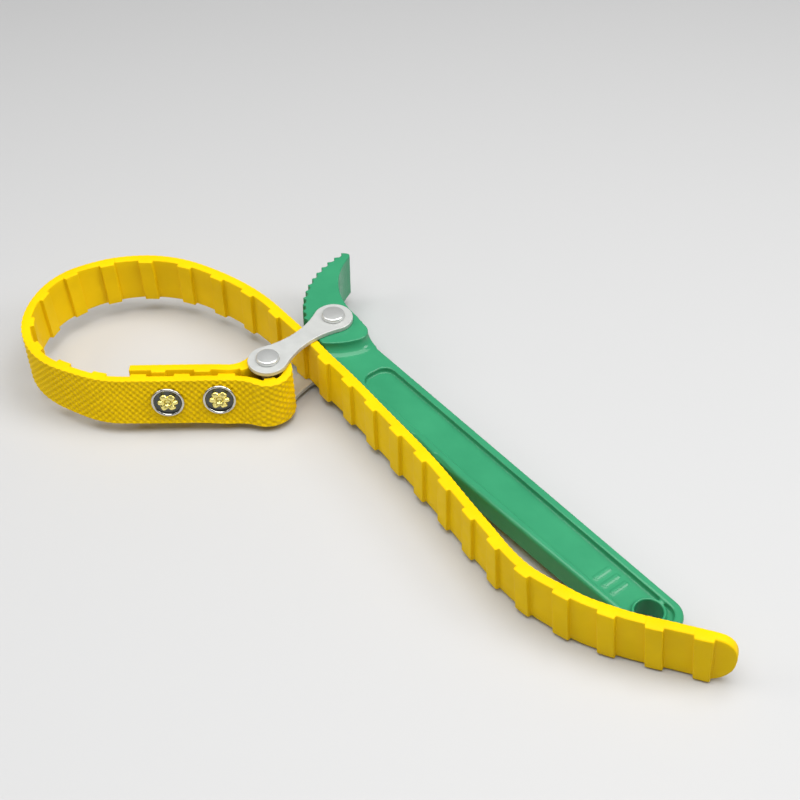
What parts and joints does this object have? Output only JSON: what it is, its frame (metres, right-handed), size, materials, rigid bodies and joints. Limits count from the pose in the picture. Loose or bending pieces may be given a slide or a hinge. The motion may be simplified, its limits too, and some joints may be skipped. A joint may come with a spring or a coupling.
{
  "type": "oil filter wrench",
  "caption": "Belt-type oil filter wrench: cast handle with toothed cam horn, two link plates and a ribbed rubber belt folded and riveted into an adjustable loop.",
  "frame": {"origin": "centre of the hanging hole, half way through the handle's thickness", "axes": "+X along the handle from the hanging hole towards the cam, +Y towards the belt side, +Z along the rivet and hole axes"},
  "size_m": [0.3776, 0.1677, 0.0352],
  "materials": {
    "green_paint": "glossy paint over a casting",
    "yellow_rubber": "semi-matte moulded, knurled on one face",
    "link_steel": "tumbled zinc plate",
    "rivet_steel": "bright plate",
    "washer_steel": "satin",
    "clamp_steel": "bright plate"
  },
  "bodies": {
    "handle": {"handle": "green_paint"},
    "links": {"upper_link": "link_steel", "lower_link": "link_steel", "head_rivet": "rivet_steel", "belt_rivet": "rivet_steel", "belt_spacer": "link_steel"},
    "belt_anchor": {"belt_fixed_end": "yellow_rubber", "clamp_washer_1": "washer_steel", "clamp_rivet_1": "clamp_steel", "clamp_washer_2": "washer_steel", "clamp_rivet_2": "clamp_steel"},
    "belt_feed": {"belt_run": "yellow_rubber"}
  },
  "joints": [
    {"name": "link_swing", "type": "hinge", "parent": "handle", "child": "links", "pos_m": [0.2205, -0.003, 0], "axis": [0, 0, 1], "range_deg": [-36, 0]},
    {"name": "belt_swing", "type": "hinge", "parent": "links", "child": "belt_anchor", "pos_m": [0.21472, 0.04032, 0], "axis": [0, 0, 1], "range_deg": [0, 18]},
    {"name": "belt_feed", "type": "slide", "parent": "belt_anchor", "child": "belt_feed", "axis": [-0.9976, 0.0698, 0], "range_m": [0, 0.025]}
  ],
  "couplings": [
    {"joint": "belt_swing", "follows": "link_swing", "ratio": -0.5}
  ]
}
